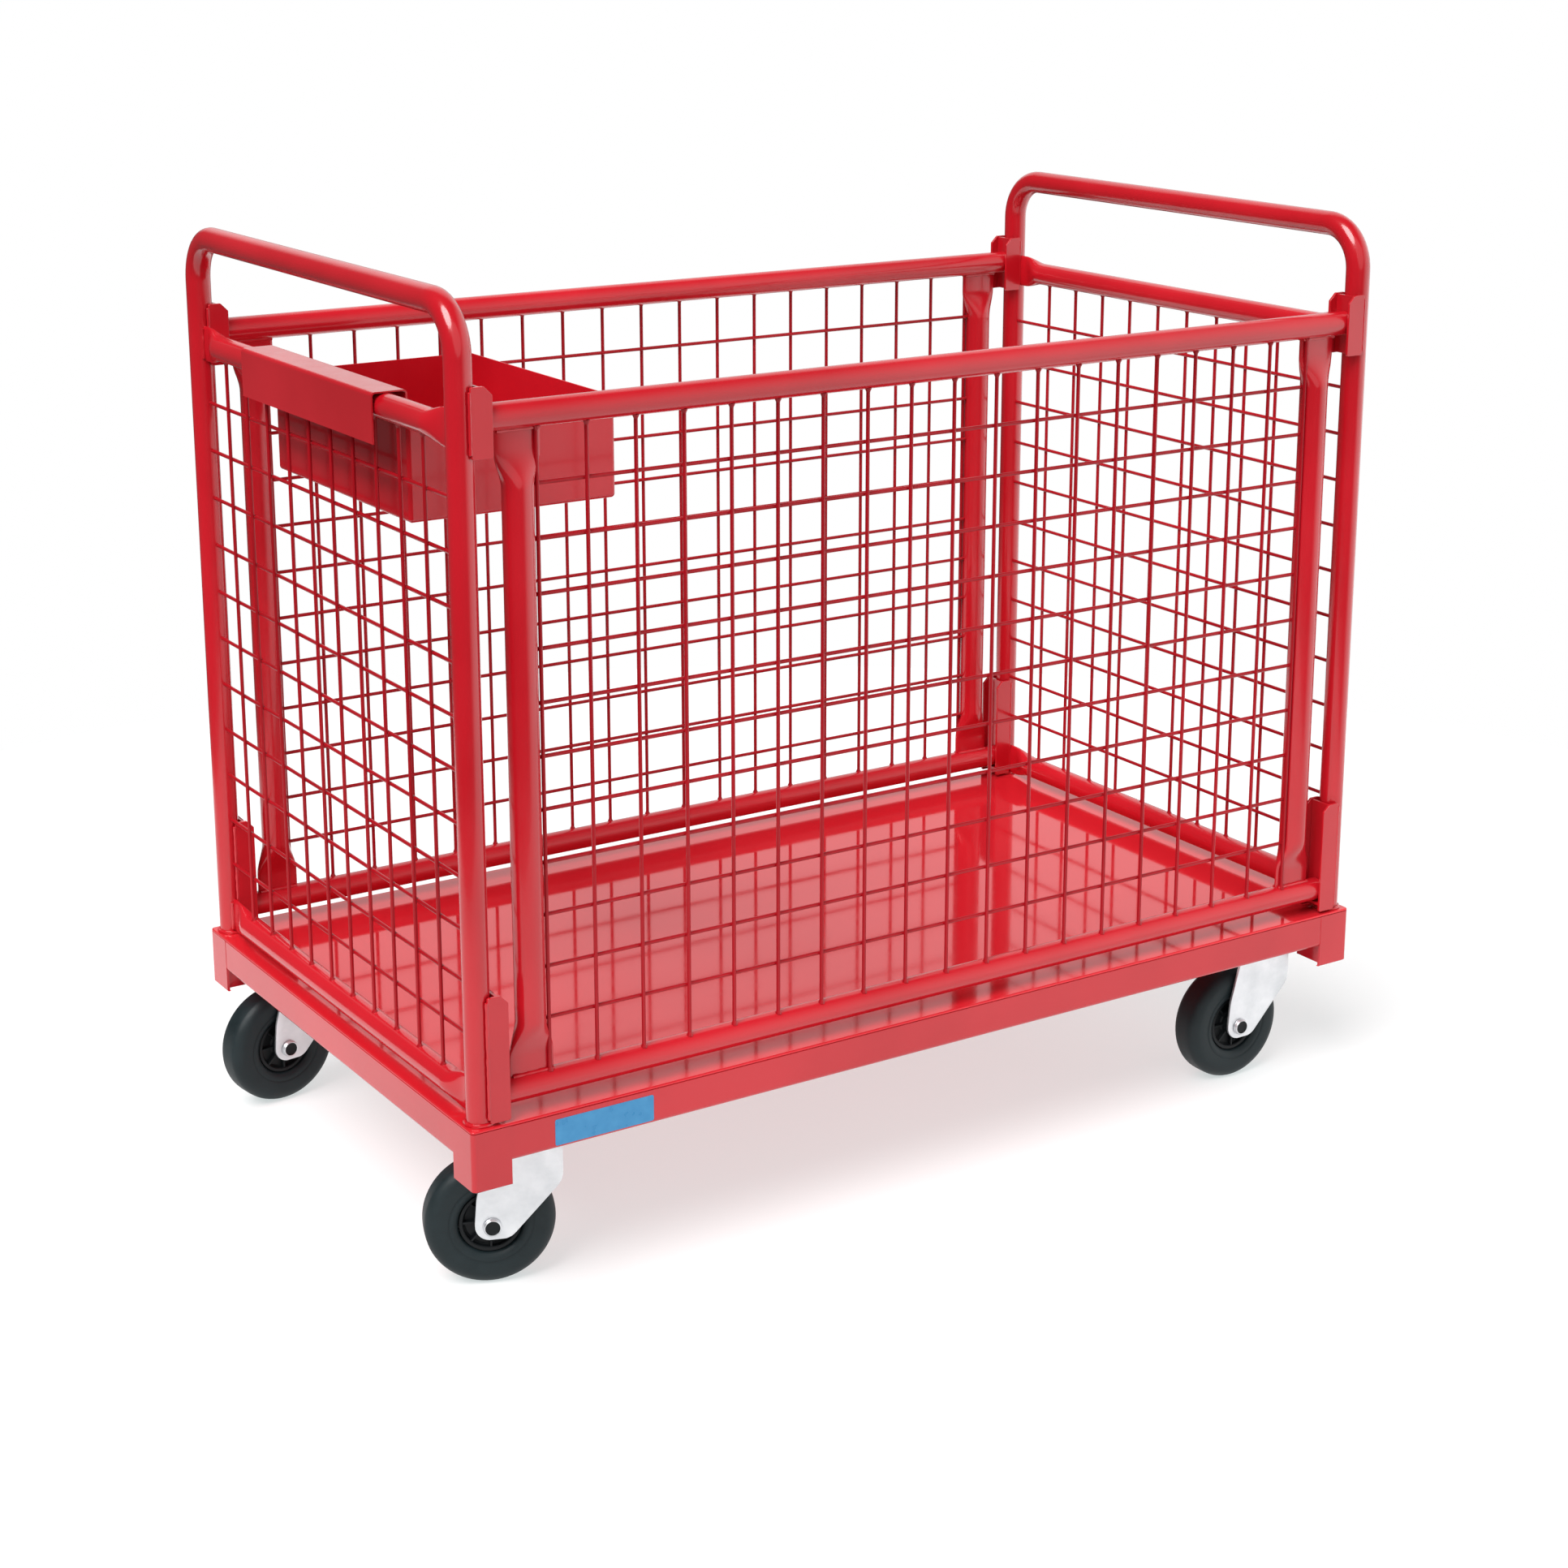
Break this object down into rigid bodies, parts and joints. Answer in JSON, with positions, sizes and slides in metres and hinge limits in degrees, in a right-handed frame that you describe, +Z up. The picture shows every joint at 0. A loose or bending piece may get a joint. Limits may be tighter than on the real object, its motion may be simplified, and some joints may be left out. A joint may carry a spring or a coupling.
{
  "type": "roll cage container",
  "caption": "Wire-mesh cage trolley: a flat deck on swivel casters between end hoops that serve as handles, with lift-out long side panels and a small hang-on tray.",
  "frame": {"origin": "on the floor, at the centre of the footprint of the base and the trailing wheels", "axes": "+X along the cage's length, away from the hanging tray; +Z up; -Y towards the front long side"},
  "size_m": [1.0944, 0.6236, 0.945],
  "materials": {
    "red_paint": "glossy red powder coat",
    "zinc_plating": "bright zinc plating",
    "black_tyre": "black solid rubber",
    "dark_hub": "dark grey moulded plastic"
  },
  "bodies": {
    "root": {"deck_sheet": "red_paint", "base_rail_front": "red_paint", "base_rail_rear": "red_paint", "base_rail_left": "red_paint", "base_rail_right": "red_paint", "caster_beam_left": "red_paint", "caster_beam_right": "red_paint", "corner_foot_front_left": "red_paint", "corner_foot_rear_left": "red_paint", "corner_foot_front_right": "red_paint", "corner_foot_rear_right": "red_paint", "end_hoop_left": "red_paint", "end_bottom_rail_left": "red_paint", "end_top_rail_left": "red_paint", "end_mesh_left": "red_paint", "end_hoop_right": "red_paint", "end_bottom_rail_right": "red_paint", "end_top_rail_right": "red_paint", "end_mesh_right": "red_paint", "pocket_bottom_front_left": "red_paint", "pocket_bottom_rear_left": "red_paint", "pocket_bottom_front_right": "red_paint", "pocket_bottom_rear_right": "red_paint", "pocket_top_front_left": "red_paint", "pocket_top_rear_left": "red_paint", "pocket_top_front_right": "red_paint", "pocket_top_rear_right": "red_paint", "caster_plate_front_left": "zinc_plating", "caster_plate_rear_left": "zinc_plating", "caster_plate_front_right": "zinc_plating", "caster_plate_rear_right": "zinc_plating"},
    "panel_front": {"panel_front_bottom_rail": "red_paint", "panel_front_top_rail": "red_paint", "panel_front_stile_left": "red_paint", "panel_front_stile_right": "red_paint", "panel_front_mesh": "red_paint"},
    "panel_rear": {"panel_rear_bottom_rail": "red_paint", "panel_rear_top_rail": "red_paint", "panel_rear_stile_left": "red_paint", "panel_rear_stile_right": "red_paint", "panel_rear_mesh": "red_paint"},
    "tray": {"tray": "red_paint"},
    "swivel_front_left": {"caster_fork_front_left": "zinc_plating", "wheel_axle_front_left": "zinc_plating"},
    "wheel_front_left": {"wheel_hub_front_left": "dark_hub", "wheel_tyre_front_left": "black_tyre"},
    "swivel_rear_left": {"caster_fork_rear_left": "zinc_plating", "wheel_axle_rear_left": "zinc_plating"},
    "wheel_rear_left": {"wheel_hub_rear_left": "dark_hub", "wheel_tyre_rear_left": "black_tyre"},
    "swivel_front_right": {"caster_fork_front_right": "zinc_plating", "wheel_axle_front_right": "zinc_plating"},
    "wheel_front_right": {"wheel_hub_front_right": "dark_hub", "wheel_tyre_front_right": "black_tyre"},
    "swivel_rear_right": {"caster_fork_rear_right": "zinc_plating", "wheel_axle_rear_right": "zinc_plating"},
    "wheel_rear_right": {"wheel_hub_rear_right": "dark_hub", "wheel_tyre_rear_right": "black_tyre"}
  },
  "joints": [
    {"name": "panel_front_lift", "type": "slide", "parent": "root", "child": "panel_front", "axis": [0, 0, 1], "range_m": [0, 0.12]},
    {"name": "panel_rear_lift", "type": "slide", "parent": "root", "child": "panel_rear", "axis": [0, 0, 1], "range_m": [0, 0.12]},
    {"name": "tray_lift", "type": "slide", "parent": "root", "child": "tray", "axis": [0, 0, 1], "range_m": [0, 0.07]},
    {"name": "caster_swivel_front_left", "type": "hinge", "parent": "root", "child": "swivel_front_left", "pos_m": [-0.44422, -0.258, 0.15], "axis": [0, 0, 1], "continuous": true},
    {"name": "wheel_spin_front_left", "type": "hinge", "parent": "swivel_front_left", "child": "wheel_front_left", "pos_m": [-0.48181, -0.24432, 0.0625], "axis": [0.342, 0.9397, 0], "continuous": true},
    {"name": "caster_swivel_rear_left", "type": "hinge", "parent": "root", "child": "swivel_rear_left", "pos_m": [-0.44422, 0.258, 0.15], "axis": [0, 0, 1], "continuous": true},
    {"name": "wheel_spin_rear_left", "type": "hinge", "parent": "swivel_rear_left", "child": "wheel_rear_left", "pos_m": [-0.48383, 0.25243, 0.0625], "axis": [-0.1392, 0.9903, 0], "continuous": true},
    {"name": "caster_swivel_front_right", "type": "hinge", "parent": "root", "child": "swivel_front_right", "pos_m": [0.46118, -0.258, 0.15], "axis": [0, 0, 1], "continuous": true},
    {"name": "wheel_spin_front_right", "type": "hinge", "parent": "swivel_front_right", "child": "wheel_front_right", "pos_m": [0.42118, -0.258, 0.0625], "axis": [0, 1, 0], "continuous": true},
    {"name": "caster_swivel_rear_right", "type": "hinge", "parent": "root", "child": "swivel_rear_right", "pos_m": [0.46118, 0.258, 0.15], "axis": [0, 0, 1], "continuous": true},
    {"name": "wheel_spin_rear_right", "type": "hinge", "parent": "swivel_rear_right", "child": "wheel_rear_right", "pos_m": [0.42133, 0.26149, 0.0625], "axis": [0.0872, 0.9962, 0], "continuous": true}
  ]
}
